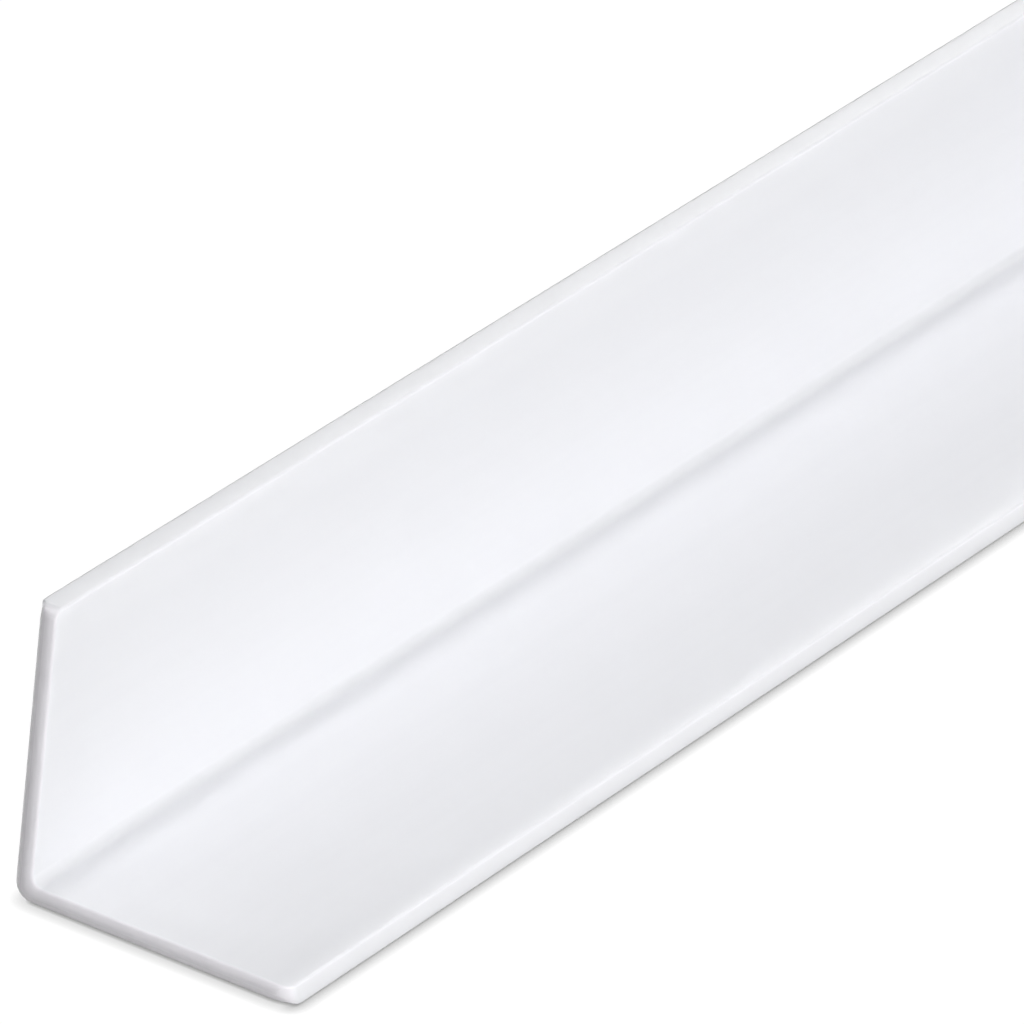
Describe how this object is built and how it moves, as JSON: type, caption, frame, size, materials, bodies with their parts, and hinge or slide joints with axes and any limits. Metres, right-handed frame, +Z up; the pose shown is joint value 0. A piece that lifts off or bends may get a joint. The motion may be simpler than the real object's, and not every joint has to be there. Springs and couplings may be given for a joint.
{
  "type": "corner guard moulding",
  "caption": "Equal-leg angle of white rigid PVC that is glued over an outside wall corner to protect its edge.",
  "frame": {"origin": "middle of the bounding box's underside: on the floor under the lying leg, half way along the stock", "axes": "+X along the stock, +Y towards the heel and the standing leg, +Z up"},
  "size_m": [1, 0.03, 0.03],
  "materials": {
    "white_pvc": "smooth satin-gloss rigid PVC in a slightly cool white, extruded, with sawn ends"
  },
  "bodies": {
    "root": {"corner_guard": "white_pvc"}
  },
  "joints": []
}
